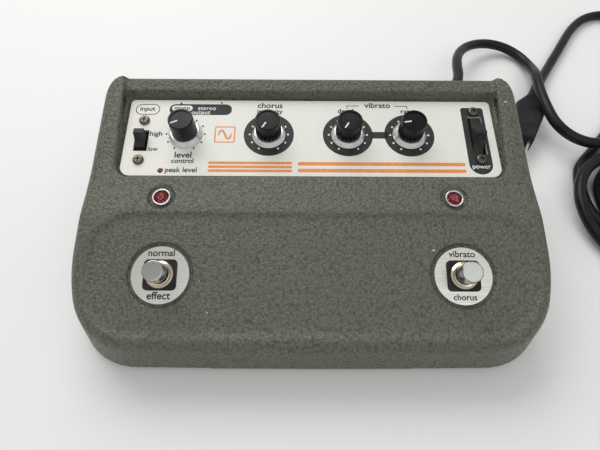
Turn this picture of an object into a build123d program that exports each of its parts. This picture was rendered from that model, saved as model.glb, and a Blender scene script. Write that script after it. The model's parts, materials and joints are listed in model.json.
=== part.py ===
from build123d import *
import math
import os

# Chorus and vibrato foot pedal with its own mains lead, in millimetres.
# +X is to the player's right, +Y is to the rear, +Z is up.
# The origin is under the middle of the housing, on the surface it stands on.

# ---- driving dimensions ----
HALF_WIDTH = 122.0          # housing half width, carried down to the floor
SIDE_DRAFT = 0.125          # how far each side leans in, per millimetre of height
FRONT_Y = -73.97            # front wall, carried down to the floor
FRONT_DRAFT = 0.045
REAR_Y = 71.6               # rear wall, carried down to the floor
REAR_DRAFT = 0.03
COVER_BOTTOM = 4.0          # lower rim of the cover, above the floor
COVER_TOP = 90.0            # where the drafted block ends, well above the rim
WALL = 3.0
REAR_CORNER = 12.0
FRONT_CORNER = 33.0
SIDE_BEND = 17.0            # degrees that each side turns in before the front corner
SIDE_BEND_START = 46.5      # distance from the front wall to the start of that bend
FRONT_BOW = 1.0             # half angle of the front wall's bow, degrees
RIM_ROUND = 8.0

PANEL_TILT = 10.0           # control plate, degrees down towards the front
PANEL_Y = 36.3
PANEL_Z = 55.0
FOOT_TILT = 19.5            # foot area, degrees
SHELF_V = -26.0             # the shelf starts here, in front of the plate
SHELF_W = 2.2
CREASE_V = -48.0            # the shelf meets the foot area here
CREASE_W = 4.2
DISH_DEPTH = 1.8            # the foot area is a shallow dish
DISH_WIDTH = 214.0
DISH_REACH = (-27.0, 28.6)  # its front and rear edges, from the foot switches
DISH_CORNER = 22.0
CHEEK_V = 34.0              # rear end of the cheeks
CHEEK_W = 8.4
STRIP_V = 27.2              # front edge of the strip behind the plate
STRIP_W = 4.8
STRIP_REAR_W = 6.3
BASIN_U = 101.3             # inner faces of the cheeks at the plate
BASIN_DRAFT = 12.0          # their draft, degrees
STRIP_ROUND = 2.5           # hollow between the strip and each cheek

PLATE_WIDTH = 200.0
PLATE_DEPTH = 48.6
PLATE_THICK = 1.5
PLATE_GAP = 1.1
PLATE_REAR_R = 2.5
PLATE_FRONT_R = 5.5
LEDGE = 4.0                 # width of the ledge under the plate
LEDGE_THICK = 3.0

KNOB_V = 1.6
KNOBS = {"level": (-67.8, -115.0), "intensity": (-22.8, -150.0),
         "depth": (20.0, -150.0), "rate": (53.4, -100.0)}
KNOB_TOP = 13.5
KNOB_BASE_R = 6.95
KNOB_TOP_R = 6.5
KNOB_FACE_R = 5.4            # face sunk inside the knob's rim
KNOB_FACE_DEPTH = 0.5
KNOB_BOTTOM = 3.0
KNOB_GROOVES = 20
SKIRT_R = 9.15
SHAFT_R = 3.0
RUNNING = 0.05              # radial clearance of every shaft
BUSH_R = 3.5
POT_R = 8.5

INPUT_SWITCH = (-91.2, -2.6)    # middle of its slot, along and up the plate
INPUT_SLOT = (7.3, 13.4)
POWER_SWITCH = (90.4, 1.9)
POWER_SLOT = (7.7, 24.4)
SWITCH_SCREWS = [(-91.0, 10.2), (-91.0, -15.0), (90.2, 17.0), (90.2, -13.8)]
ROCK = 12.0                 # each rocker leans this far either way, degrees

LAMPS = (-75.3, 71.8)        # along the plate
LAMP_V = -38.3
LAMP_WELL_R = 6.75
LAMP_WELL = 2.0
PEAK_U, PEAK_V = -78.8, -21.2

FOOT_U = 72.8
FOOT_V = -77.5
DISC_R = 13.94
DISC_WELL_R = 15.8
DISC_WELL = 1.8
DISC_THICK = 1.1
BUTTON_R = 4.95
BUTTON_TOP = 12.9           # top of the button above its disc
BUTTON_TRAVEL = 2.6

JACKS = {"input": -90.0, "mono": -70.5, "stereo": -50.0}
JACK_Z = 27.0
JACK_BORE_R = 3.25
CORD_R = 3.5
GLAND_X = 98.0
GLAND_Z = 25.0

SCREW_R = 1.5
SCREW_HOLE_R = 1.55
HEAD_R = 2.85
HEAD_H = 1.7

# ---- places ----
PANEL_LEAN = math.radians(PANEL_TILT)
PANEL = Plane(origin=(0, PANEL_Y, PANEL_Z), x_dir=(1, 0, 0),
              z_dir=(0, -math.sin(PANEL_LEAN), math.cos(PANEL_LEAN)))
FOOT_W = CREASE_W + (FOOT_V - CREASE_V) * math.tan(math.radians(FOOT_TILT - PANEL_TILT))


def on_panel(u, v, w=0.0):
    """A point given along, up and above the control plate."""
    return PANEL.from_local_coords(Vector(u, v, w))


def panel_yz(v, w):
    """The same for the side view: its Y and Z."""
    point = on_panel(0, v, w)
    return point.Y, point.Z


FOOT_LEAN = math.radians(FOOT_TILT)


def foot_plane(u):
    """The foot area's own plane at one foot switch."""
    return Plane(origin=on_panel(u, FOOT_V, FOOT_W), x_dir=(1, 0, 0),
                 z_dir=(0, -math.sin(FOOT_LEAN), math.cos(FOOT_LEAN)))


def at(plane, shape):
    """A shape modelled at the origin, moved to a plane."""
    return plane.location * shape


def panel_at(u, v, w=0.0):
    """A plane like the control plate's, at a point of it."""
    return Plane(origin=on_panel(u, v, w), x_dir=PANEL.x_dir, z_dir=PANEL.z_dir)


# ---- simple solids ----
def disc(radius, low, high):
    """Cylinder on the local Z axis between two heights."""
    return Pos(0, 0, low) * Cylinder(radius, high - low, align=(Align.CENTER, Align.CENTER, Align.MIN))


def cone(low_radius, high_radius, low, high):
    """Cone on the local Z axis between two heights."""
    solid = Cone(low_radius, high_radius, high - low, align=(Align.CENTER, Align.CENTER, Align.MIN))
    return Pos(0, 0, low) * solid


def tube(outer, inner, low, high):
    return disc(outer, low, high) - disc(inner, low - 1, high + 1)


def block(x0, x1, y0, y1, z0, z1):
    return Pos((x0 + x1) / 2, (y0 + y1) / 2, (z0 + z1) / 2) * Box(x1 - x0, y1 - y0, z1 - z0)


def hexagon(across, low, high):
    """Hexagonal prism, by its size across flats."""
    return Pos(0, 0, low) * extrude(RegularPolygon(across / 2, 6, major_radius=False), high - low)


def side_prism(points, x0, x1):
    """A side view outline of Y and Z points, run from one X to another."""
    face = Face(Wire.make_polygon([(x0, y, z) for y, z in points], close=True))
    return extrude(face, x1 - x0, dir=(1, 0, 0))


def pan_screw(length):
    """Cross-recessed pan head screw, its seat at the origin, pointing down."""
    head = disc(HEAD_R, 0, HEAD_H)
    head = fillet(head.edges().group_by(Axis.Z)[-1], HEAD_H * 0.6)
    cross = Box(3.0, 0.7, 2.0) + Box(0.7, 3.0, 2.0)
    return head - Pos(0, 0, HEAD_H) * cross + disc(SCREW_R, -length, 0.01)


def group(shapes):
    """Separate solids kept together in one node."""
    solids = []
    for shape in shapes:
        solids += shape.solids()
    return Compound(children=solids)


# ---- the housing's plan ----
def plan_points(height, inset, longer):
    """Right half of the plan at a height: the ends of its runs, and the middles of its arcs.
    It can be made longer at the rear."""
    half = HALF_WIDTH - SIDE_DRAFT * height - inset
    front = FRONT_Y + FRONT_DRAFT * height + inset
    rear = REAR_Y - REAR_DRAFT * height - inset + longer
    corner = FRONT_CORNER - inset
    bend, bow = math.radians(SIDE_BEND), math.radians(FRONT_BOW)
    reach = SIDE_BEND_START - inset
    sag = 1.0
    for _ in range(20):
        side = corner + (reach - corner * math.cos(bow) - sag) / math.sin(bend)
        corner_end = half - side + (side - corner) * math.cos(bend) + corner * math.sin(bow)
        sag = corner_end * math.tan(bow / 2)
    side_centre = (half - side, front + reach)
    corner_centre = (side_centre[0] + (side - corner) * math.cos(bend),
                     side_centre[1] - (side - corner) * math.sin(bend))
    rear_r = REAR_CORNER - inset
    rear_centre = (half - rear_r, rear - rear_r)

    def around(centre, radius, angle):
        return (centre[0] + radius * math.cos(angle), centre[1] + radius * math.sin(angle))

    turn = math.pi / 2 - bow
    return {"rear": (half - rear_r, rear), "rear_mid": around(rear_centre, rear_r, math.pi / 4),
            "side_rear": (half, rear - rear_r), "side": (half, front + reach),
            "bend_mid": around(side_centre, side, -bend / 2), "bend": around(side_centre, side, -bend),
            "corner_mid": around(corner_centre, corner, -(bend + turn) / 2),
            "corner": around(corner_centre, corner, -turn), "front": (0.0, front)}


def plan_wire(height, inset=0.0, longer=0.0):
    """Closed plan of the housing at a height, drawn in by inset."""
    points = plan_points(height, inset, longer)

    def place(name, sign):
        return (sign * points[name][0], points[name][1], height)

    edges = [Edge.make_line(place("rear", 1), place("rear", -1)),
             Edge.make_three_point_arc(place("corner", 1), place("front", 1), place("corner", -1))]
    for sign in (1, -1):
        edges.append(Edge.make_three_point_arc(
            place("rear", sign), place("rear_mid", sign), place("side_rear", sign)))
        edges.append(Edge.make_line(place("side_rear", sign), place("side", sign)))
        edges.append(Edge.make_three_point_arc(
            place("side", sign), place("bend_mid", sign), place("bend", sign)))
        edges.append(Edge.make_three_point_arc(
            place("bend", sign), place("corner_mid", sign), place("corner", sign)))
    return Wire(edges)


def drafted_block(low, high, inset=0.0, longer=0.0):
    """The housing's plan carried up between two heights with its draft."""
    return Solid.make_loft([plan_wire(low, inset, longer), plan_wire(high, inset, longer)], ruled=True)


def rim_profile(drop=0.0):
    """Side view of everything below the housing's rim, as a prism across it."""
    crease = panel_yz(CREASE_V, CREASE_W)
    slope = math.tan(FOOT_LEAN)
    front = (crease[0] - 80.0, crease[1] - 80.0 * slope)
    rise = (CHEEK_W - SHELF_W) / (CHEEK_V - SHELF_V)
    rear = panel_yz(CHEEK_V + 20, CHEEK_W + 20 * rise)
    top = [front, crease, panel_yz(SHELF_V, SHELF_W), rear]
    outline = [(rear[0], -20.0)] + [(front[0], -20.0)] + [(y, z - drop) for y, z in top]
    prism = side_prism(outline, -150, 150)
    bends = [e for e in prism.edges().filter_by(Axis.X)
             if abs(e.center().Y - crease[0]) < 0.1 and abs(e.center().Z - crease[1] + drop) < 0.1]
    prism = fillet(bends, 40.0)
    dips = [e for e in prism.edges().filter_by(Axis.X)
            if abs(e.center().Y - top[2][0]) < 0.1 and abs(e.center().Z - top[2][1] + drop) < 0.1]
    return fillet(dips, 90.0)


def rounded_outer():
    """The outer form, its rim rounded along the sides and front and left crisp at the rear."""
    form = drafted_block(COVER_BOTTOM, COVER_TOP, longer=RIM_ROUND + 1) & rim_profile()
    tops = [f for f in form.faces() if f.normal_at(f.center()).Z > 0.7]
    seen = {}
    for face in tops:
        for edge in face.edges():
            c = edge.center()
            key = (round(c.X, 2), round(c.Y, 2), round(c.Z, 2))
            seen.setdefault(key, []).append(edge)
    rim = [edges[0] for edges in seen.values() if len(edges) == 1]
    return fillet(rim, RIM_ROUND) & drafted_block(COVER_BOTTOM, COVER_TOP)


def rounded_plate(width, depth, rear_r, front_r):
    """Rectangle about the plate's middle with its own front and rear corner radii."""
    sheet = Rectangle(width, depth)
    sheet = fillet(sheet.vertices().group_by(Axis.Y)[-1], rear_r)
    return fillet(sheet.vertices().group_by(Axis.Y)[0], front_r)


def shelf_w(v):
    """Height of the ground in front of the plate, above the plate."""
    return SHELF_W + (v - SHELF_V) / (CREASE_V - SHELF_V) * (CREASE_W - SHELF_W)


SIDES = (-1, 1)
LAMP_FLOOR = shelf_w(LAMP_V) - LAMP_WELL
DISC_TOP = -DISH_DEPTH - DISC_WELL + DISC_THICK
WELL_FLOOR = -DISH_DEPTH - DISC_WELL
OPENING = (PLATE_WIDTH - 2 * LEDGE, PLATE_DEPTH - 2 * LEDGE + 1.4)
POSTS = [(109.5, -50.0), (-109.5, -50.0), (113.5, 50.0), (-113.5, 50.0), (0.0, -66.8), (10.0, 64.3)]
POST_R = 4.5
BASE_THICK = 1.5
FLOOR_TOP = COVER_BOTTOM + BASE_THICK
FEET = [(x, y) for x in (-94.0, 94.0) for y in (-46.0, 50.0)]
FOOT_PAD_R = 9.0
JACK_HOLE_R = 4.8
JACK_STANDS_OUT = 3.0
GLAND_HOLE_R = 6.9


def rear_y(z):
    """Outside of the rear wall at a height."""
    return REAR_Y - REAR_DRAFT * z


def along_y(x, y, z):
    """A frame whose local Z points to the rear."""
    return Plane(origin=(x, y, z), x_dir=(1, 0, 0), z_dir=(0, 1, 0))


# ---- housing ----
def basin():
    """What is taken out between the cheeks, above the plate and the strip behind it."""
    depth = CHEEK_V + 30 - (-PLATE_DEPTH / 2 - PLATE_GAP)
    sheet = Rectangle(2 * BASIN_U, depth)
    sheet = fillet(sheet.vertices().group_by(Axis.Y)[0], PLATE_FRONT_R + PLATE_GAP)
    middle = -PLATE_DEPTH / 2 - PLATE_GAP + depth / 2
    well = at(panel_at(0, middle), extrude(sheet, 24, taper=-BASIN_DRAFT))
    wall_foot = PLATE_DEPTH / 2 + PLATE_GAP
    rise = (STRIP_REAR_W - STRIP_W) / (CHEEK_V - STRIP_V)
    far = CHEEK_V + 20
    view = [(-45, 0), (wall_foot, 0), (STRIP_V, STRIP_W), (far, STRIP_W + (far - STRIP_V) * rise),
            (far, 40), (-45, 40)]
    bowl = well & side_prism([panel_yz(v, w) for v, w in view], -140, 140)
    foot = [e for e in bowl.edges() if abs(e.center().X) > 90 and e.center().Y > panel_yz(STRIP_V, STRIP_W)[0] + 1
            and e.center().Z < panel_yz(far, 12)[1] and abs(e.tangent_at(0.5).Y) > 0.9]
    return fillet(foot, STRIP_ROUND)


def foot_dish():
    front, rear = DISH_REACH
    sheet = fillet(Rectangle(DISH_WIDTH, rear - front).vertices(), DISH_CORNER)
    return at(foot_plane(0), Pos(0, (front + rear) / 2, -DISH_DEPTH) * extrude(sheet, 6, taper=-60))


def make_top_cover():
    """Cast housing, open underneath."""
    outer = rounded_outer()
    cavity = drafted_block(COVER_BOTTOM - 1, COVER_TOP, WALL) & rim_profile(drop=WALL + 0.4)
    shell = outer - cavity
    ledge = at(PANEL, block(-BASIN_U - 4, BASIN_U + 4, -PLATE_DEPTH / 2 - 4, PLATE_DEPTH / 2 + 5,
                            -PLATE_THICK - LEDGE_THICK, 1.0))
    strip = at(PANEL, block(-BASIN_U - 4, BASIN_U + 4, PLATE_DEPTH / 2, CHEEK_V + 20,
                            -PLATE_THICK, STRIP_REAR_W + 1))
    inside = ledge + strip
    for u in LAMPS:
        lamp = panel_at(u, LAMP_V)
        inside += at(lamp, disc(LAMP_WELL_R + 2.5, LAMP_FLOOR - 2.5, LAMP_FLOOR + 3))
    for side in SIDES:
        inside += at(foot_plane(side * FOOT_U), disc(DISC_WELL_R + 2.5, WELL_FLOOR - 3.0, WELL_FLOOR + 1))
    for x, y in POSTS:
        inside += Pos(x, y, 0) * disc(POST_R, FLOOR_TOP, FLOOR_TOP + 12)
    shell += inside & outer
    shell -= basin()
    shell -= foot_dish()
    pocket = rounded_plate(PLATE_WIDTH + 2 * PLATE_GAP, PLATE_DEPTH + 2 * PLATE_GAP,
                           PLATE_REAR_R + PLATE_GAP, PLATE_FRONT_R + PLATE_GAP)
    shell -= at(panel_at(0, 0, -PLATE_THICK), extrude(pocket, 6))
    shell -= at(PANEL, block(-OPENING[0] / 2, OPENING[0] / 2, -OPENING[1] / 2, OPENING[1] / 2, -20, 1))
    shell -= at(panel_at(PEAK_U, PEAK_V), disc(2.6, -12, 1))
    for u in LAMPS:
        lamp = panel_at(u, LAMP_V)
        shell -= at(lamp, disc(LAMP_WELL_R, LAMP_FLOOR, LAMP_FLOOR + 12))
        shell -= at(lamp, disc(4.1, LAMP_FLOOR - 8, LAMP_FLOOR + 1))
    for side in SIDES:
        foot = foot_plane(side * FOOT_U)
        shell -= at(foot, disc(DISC_WELL_R, WELL_FLOOR, 12) + disc(6.1, WELL_FLOOR - 12, WELL_FLOOR + 1))
    for x in JACKS.values():
        shell -= at(along_y(x, rear_y(JACK_Z), JACK_Z), disc(JACK_HOLE_R, -8, 4))
    shell -= at(along_y(GLAND_X, rear_y(GLAND_Z), GLAND_Z), disc(GLAND_HOLE_R, -8, 4))
    for x, y in POSTS:
        shell -= Pos(x, y, 0) * disc(SCREW_HOLE_R, COVER_BOTTOM, FLOOR_TOP + 10)
    return shell


def make_base_plate():
    sheet = extrude(Face(plan_wire(COVER_BOTTOM, WALL + 0.3)), BASE_THICK)
    for x, y in POSTS + FEET:
        sheet -= Pos(x, y, 0) * disc(SCREW_HOLE_R, COVER_BOTTOM - 1, FLOOR_TOP + 1)
    return sheet


def make_rubber_feet():
    foot = disc(FOOT_PAD_R, 0, COVER_BOTTOM)
    foot = fillet(foot.edges().group_by(Axis.Z)[0], 0.8)
    foot -= disc(4.2, -1, 2.0) + disc(SCREW_HOLE_R + 0.1, 0, COVER_BOTTOM + 1)
    return group([Pos(x, y, 0) * foot for x, y in FEET])


def make_base_screws():
    """One screw up through the base plate at each post, and one in each foot."""
    turned = Rot(180, 0, 0)
    posts = [Pos(x, y, COVER_BOTTOM) * turned * pan_screw(10.0) for x, y in POSTS]
    feet = [Pos(x, y, 2.0) * turned * pan_screw(5.0) for x, y in FEET]
    return group(posts + feet)


# ---- control plate and what is on it ----
def slot_cut(switch, slot):
    u, v = switch
    return block(u - slot[0] / 2, u + slot[0] / 2, v - slot[1] / 2, v + slot[1] / 2, -3, 3)


def make_control_plate():
    sheet = rounded_plate(PLATE_WIDTH, PLATE_DEPTH, PLATE_REAR_R, PLATE_FRONT_R)
    plate = Pos(0, 0, -PLATE_THICK) * extrude(sheet, PLATE_THICK)
    for u, _ in KNOBS.values():
        plate -= Pos(u, KNOB_V, 0) * disc(BUSH_R + 0.1, -3, 3)
    plate -= slot_cut(INPUT_SWITCH, INPUT_SLOT) + slot_cut(POWER_SWITCH, POWER_SLOT)
    for u, v in SWITCH_SCREWS:
        plate -= Pos(u, v, 0) * disc(SCREW_HOLE_R, -3, 3)
    plate -= Pos(PEAK_U, PEAK_V, 0) * disc(1.5, -3, 3)
    return at(PANEL, plate)


def make_switch_screws():
    return group([at(panel_at(u, v), pan_screw(6.0)) for u, v in SWITCH_SCREWS])


def make_pot(u):
    """Potentiometer under the plate, its threaded bush standing through it."""
    can = disc(POT_R, -PLATE_THICK - 9.5, -PLATE_THICK)
    can = fillet(can.edges().group_by(Axis.Z)[0], 1.0)
    tags = block(-6, 6, -POT_R - 2.6, -4, -PLATE_THICK - 3.4, -PLATE_THICK - 1.8)
    for x in (-5, 0, 5):
        tags += block(x - 0.9, x + 0.9, -POT_R - 6.0, -POT_R, -PLATE_THICK - 3.0, -PLATE_THICK - 2.4)
    pot = can + tags + disc(BUSH_R, -PLATE_THICK, 2.0)
    return at(panel_at(u, KNOB_V), pot - disc(SHAFT_R + RUNNING, -9.0, 4))


def make_pot_nuts():
    nut = hexagon(9.6, 0, 1.8) - disc(BUSH_R, -1, 3)
    return group([at(panel_at(u, KNOB_V), nut) for u, _ in KNOBS.values()])


def make_shaft(u):
    return at(panel_at(u, KNOB_V), disc(SHAFT_R, -8.6, KNOB_TOP - 2.0))


def knob_place(u, clock):
    """A frame on the knob's axis, its local Y along the pointer."""
    plane = panel_at(u, KNOB_V)
    return plane.location * Rot(0, 0, -clock)


def make_knob(u, clock):
    """Fluted black cap, with a shallow slot in its top for the pointer line."""
    body = cone(KNOB_BASE_R, KNOB_TOP_R, KNOB_BOTTOM, KNOB_TOP)
    body = fillet(body.edges().group_by(Axis.Z)[-1], 0.5)
    for i in range(KNOB_GROOVES):
        angle = 360 / KNOB_GROOVES * (i + 0.5)
        body -= Rot(0, 0, angle) * Pos(0, KNOB_BASE_R + 0.25, 0) * disc(0.55, KNOB_BOTTOM - 1, KNOB_TOP - 1.6)
    body -= disc(SHAFT_R, KNOB_BOTTOM - 1, KNOB_TOP - 2.0)
    body -= disc(KNOB_FACE_R, KNOB_TOP - KNOB_FACE_DEPTH, KNOB_TOP + 1)
    body -= block(-0.4, 0.4, 1.6, KNOB_TOP_R - 0.6, KNOB_TOP - KNOB_FACE_DEPTH - 0.25, KNOB_TOP + 1)
    return knob_place(u, clock) * body


def make_skirt(u, clock):
    """Bright metal skirt under the cap, hollow over the nut."""
    outer = cone(SKIRT_R, KNOB_BASE_R + 0.5, 0.6, KNOB_BOTTOM)
    hollow = cone(SKIRT_R - 0.4, KNOB_BASE_R + 0.3, 0, 2.3)
    return knob_place(u, clock) * (outer - hollow - disc(SHAFT_R, -1, 4))


ROCKERS = {
    # pivot height above the plate, half width, and half of the side view from the pivot:
    # end, waist, ridge and underside
    "input": {"place": INPUT_SWITCH, "slot": INPUT_SLOT, "pivot": -3.0, "half": 2.5, "lean": -ROCK,
              "end": (5.2, 2.6), "waist": (3.2, 4.6), "ridge": (1.9, 9.5), "under": (4.4, -2.5)},
    "power": {"place": POWER_SWITCH, "slot": POWER_SLOT, "pivot": -4.0, "half": 2.8, "lean": ROCK,
              "end": (11.0, 3.0), "waist": (5.2, 4.9), "ridge": (0.9, 10.4), "under": (10.0, -3.5)},
}
AXLE_R = 1.2
CASE_WALL = 1.1
SWITCH_DEPTH = 14.0


def make_rocker(spec):
    """Rocker with concave slopes up to a ridge, on its own axle, leaning to its rest side."""
    end, waist, ridge, under = (spec[k] for k in ("end", "waist", "ridge", "under"))

    def pt(p, sign):
        return (0, sign * p[0], p[1])

    edges = [Edge.make_line(pt(ridge, -1), pt(ridge, 1)), Edge.make_line(pt(under, -1), pt(under, 1))]
    for sign in SIDES:
        edges.append(Edge.make_three_point_arc(pt(end, sign), pt(waist, sign), pt(ridge, sign)))
        edges.append(Edge.make_line(pt(end, sign), pt(under, sign)))
    view = Face(Wire(edges))
    body = Pos(-spec["half"], 0, 0) * extrude(view, 2 * spec["half"], dir=(1, 0, 0))
    body = fillet(body.edges().filter_by(Axis.X).group_by(Axis.Z)[-1], 0.5)
    axle_end = spec["slot"][0] / 2 + CASE_WALL - 0.35
    axle = Rot(0, 90, 0) * disc(AXLE_R, -axle_end, axle_end)
    u, v = spec["place"]
    return at(panel_at(u, v, spec["pivot"]), Rot(spec["lean"], 0, 0) * (body + axle))


def make_rocker_case(spec, screws):
    """Switch housing under the plate, with the rocker's well, axle holes and two screw ears."""
    u, v = spec["place"]
    slot_u, slot_v = spec["slot"]
    low = -PLATE_THICK - SWITCH_DEPTH
    vs = [s[1] for s in screws]
    half = slot_u / 2 + CASE_WALL
    case = block(-half, half, -slot_v / 2 - 1.6, slot_v / 2 + 1.6, low, -PLATE_THICK)
    case += block(-half, half, min(vs) - v - 3.4, max(vs) - v + 3.4, -PLATE_THICK - 2.0, -PLATE_THICK)
    for x in (-2.6, 2.6):
        for y in (-3.5, 3.5):
            case += block(x - 0.4, x + 0.4, y - 1.2, y + 1.2, low - 4.0, low + 0.5)
    case -= block(-slot_u / 2, slot_u / 2, -slot_v / 2, slot_v / 2, low + 2.0, 2)
    case -= Pos(0, 0, spec["pivot"]) * Rot(0, 90, 0) * disc(AXLE_R + RUNNING, -9, 9)
    for s in screws:
        case -= Pos(s[0] - u, s[1] - v, 0) * disc(SCREW_HOLE_R, low - 1, 2)
    return at(panel_at(u, v), case)


def make_peak_lamp():
    lamp = disc(1.4, -PLATE_THICK - 4.0, 0.4) + disc(1.9, -PLATE_THICK - 4.0, -PLATE_THICK - 0.1)
    lamp = fillet(lamp.edges().group_by(Axis.Z)[-1], 0.6)
    return at(panel_at(PEAK_U, PEAK_V), lamp)


# ---- lamps in the shelf ----
def at_lamps(shape):
    return group([at(panel_at(u, LAMP_V, LAMP_FLOOR), shape) for u in LAMPS])


def make_lamp_bezels():
    ring = tube(4.6, 3.7, 0.0, 1.9)
    ring = fillet(ring.edges().group_by(Axis.Z)[-1], 0.3)
    return at_lamps(ring)


def make_lamp_lenses():
    """Faceted red lens."""
    dome = Pos(0, 0, 0.6) * extrude(RegularPolygon(3.55, 12), 1.8, taper=38)
    return at_lamps(disc(3.65, 0.0, 0.6) + dome)


def make_lamp_holders():
    holder = disc(4.0, -12.0, 0.0)
    for y in (-1.5, 1.5):
        holder += block(-0.5, 0.5, y - 0.3, y + 0.3, -17, -12)
    return at_lamps(holder)


def make_lamp_nuts():
    return at_lamps(hexagon(11.0, -4.9, -2.6) - disc(4.05, -6, 0))


# ---- foot switches ----
def at_feet_switches(shape):
    return group([at(foot_plane(side * FOOT_U), shape) for side in SIDES])


def make_foot_discs():
    return at_feet_switches(tube(DISC_R, 6.1, WELL_FLOOR, DISC_TOP))


def make_switch_gaskets():
    sheet = fillet(Rectangle(16.0, 15.0).vertices(), 2.2)
    pad = Pos(0, 0, DISC_TOP) * extrude(sheet, 0.4)
    return at_feet_switches(pad - disc(6.1, -9, 9))


def make_dress_nuts():
    """Round nut with a stepped, dished top."""
    low = DISC_TOP + 0.4
    nut = disc(6.6, low, low + 1.3) + cone(6.6, 5.6, low + 1.3, low + 2.0)
    return at_feet_switches(nut - disc(5.0, low - 1, low + 4))


def make_switch_bushes():
    bush = tube(5.0, 2.55, WELL_FLOOR - 6.5, DISC_TOP + 3.0)
    return at_feet_switches(bush)


def make_lock_nuts():
    return at_feet_switches(hexagon(14.0, WELL_FLOOR - 5.4, WELL_FLOOR - 3.0) - disc(5.0, -12, 0))


def make_switch_cases():
    top = WELL_FLOOR - 6.5
    case = block(-8.8, 8.8, -8.8, 8.8, top - 14.0, top)
    case -= disc(2.8, top - 5.0, top + 1)
    for x in (-5.5, 0, 5.5):
        for y in (-5.0, 0, 5.0):
            case += block(x - 0.9, x + 0.9, y - 0.3, y + 0.3, top - 17.5, top - 13.9)
    return at_feet_switches(case)


def make_button(side):
    cap_low = DISC_TOP + BUTTON_TOP - 6.4
    cap = disc(BUTTON_R, cap_low, DISC_TOP + BUTTON_TOP)
    cap = fillet(cap.edges().group_by(Axis.Z)[-1], 0.6)
    return at(foot_plane(side * FOOT_U), cap + disc(2.5, WELL_FLOOR - 7.0, cap_low + 0.5))


# ---- rear ----
def make_jack(x):
    """Quarter inch jack: threaded bush through the rear wall and its case inside."""
    place = along_y(x, rear_y(JACK_Z), JACK_Z)
    jack = disc(JACK_HOLE_R - 0.1, -8, JACK_STANDS_OUT) + block(-8.0, 8.0, -7.0, 7.0, -34, -WALL - 0.3)
    jack -= disc(JACK_BORE_R, -31, 6)
    for x_tag in (-5, 0, 5):
        jack += block(x_tag - 0.8, x_tag + 0.8, -10.5, -6.9, -30, -29.4)
    return at(place, jack)


def make_jack_nuts():
    nut = hexagon(12.0, 0.7, 2.7) - disc(JACK_HOLE_R - 0.1, 0, 4)
    return group([at(along_y(x, rear_y(JACK_Z), JACK_Z), nut) for x in JACKS.values()])


def make_jack_washers():
    washer = tube(7.2, JACK_HOLE_R - 0.1, 0.25, 0.7)
    return group([at(along_y(x, rear_y(JACK_Z), JACK_Z), washer) for x in JACKS.values()])


RELIEF_LENGTH = 27.0


def make_strain_relief():
    """Moulded collar in the rear wall with a tapered sleeve."""
    sleeve = cone(5.8, 4.4, 2.5, RELIEF_LENGTH)
    collar = fillet(disc(8.2, 0.25, 2.8).edges().group_by(Axis.Z)[-1], 0.8)
    body = disc(GLAND_HOLE_R - 0.1, -WALL - 0.4, 0.3) + disc(8.2, -WALL - 3.0, -WALL - 0.3)
    return at(along_y(GLAND_X, rear_y(GLAND_Z), GLAND_Z), sleeve + collar + body)


# ---- inside ----
TRANSFORMER = (25.0, -8.0)
BOARD = (-88.0, 60.0, 18.0, 52.0)      # its X and Y limits
BOARD_Z = 12.0
BOARD_THICK = 1.6
STANDOFFS = [(-84.0, 22.0), (-84.0, 48.0), (56.0, 22.0), (56.0, 48.0)]


def make_transformer_core():
    """Stack of laminations round the coil's two windows."""
    x, y = TRANSFORMER
    core = block(-24, 24, -9, 9, 0, 30)
    core -= block(-17, -8, -10, 10, 6, 24) + block(8, 17, -10, 10, 6, 24)
    return Pos(x, y, FLOOR_TOP + 1.2) * core


def make_transformer_coil():
    x, y = TRANSFORMER
    coil = block(-16.9, 16.9, -15, 15, 6.1, 23.9) - block(-8.1, 8.1, -9.1, 9.1, 0, 30)
    return Pos(x, y, FLOOR_TOP + 1.2) * coil


def make_transformer_frame():
    """Steel saddle under and beside the core, with two screwed feet."""
    x, y = TRANSFORMER
    saddle = block(-36, 36, -8, 8, 0, 1.1)
    saddle += block(-25.3, -24.1, -8, 8, 0, 28) + block(24.1, 25.3, -8, 8, 0, 28)
    for side in SIDES:
        saddle -= Pos(side * 31, 0, 0) * disc(SCREW_HOLE_R, -1, 3)
    return Pos(x, y, FLOOR_TOP) * saddle


def make_main_board():
    x0, x1, y0, y1 = BOARD
    board = block(x0, x1, y0, y1, BOARD_Z, BOARD_Z + BOARD_THICK)
    for x, y in STANDOFFS:
        board -= Pos(x, y, 0) * disc(SCREW_HOLE_R, 0, 40)
    return board


def make_standoffs():
    post = tube(2.6, SCREW_HOLE_R, FLOOR_TOP, BOARD_Z)
    return group([Pos(x, y, 0) * post for x, y in STANDOFFS])


def make_inside_screws():
    """Screws of the main board and of the transformer."""
    x, y = TRANSFORMER
    saddle = [Pos(x + side * 31, y, FLOOR_TOP + 1.1) * pan_screw(1.1) for side in SIDES]
    return group(saddle + [Pos(x, y, BOARD_Z + BOARD_THICK) * pan_screw(5.0) for x, y in STANDOFFS])


def make_board_parts():
    """Delay and amplifier chips in two rows, with capacitors between them."""
    top = BOARD_Z + BOARD_THICK
    parts = []
    for i in range(4):
        for y in (26.0, 42.0):
            x = -66.0 + 32.0 * i
            parts.append(block(x - 9.5, x + 9.5, y - 3.2, y + 3.2, top, top + 3.4))
    for i in range(5):
        can = disc(3.2, top, top + 5.0)
        parts.append(Pos(-50.0 + 24.0 * i, 34.0, 0) * fillet(can.edges().group_by(Axis.Z)[-1], 0.5))
    return group(parts)


def make_supply_board():
    return block(70, 104, -20, 4, FLOOR_TOP + 6.0, FLOOR_TOP + 7.6)


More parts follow.
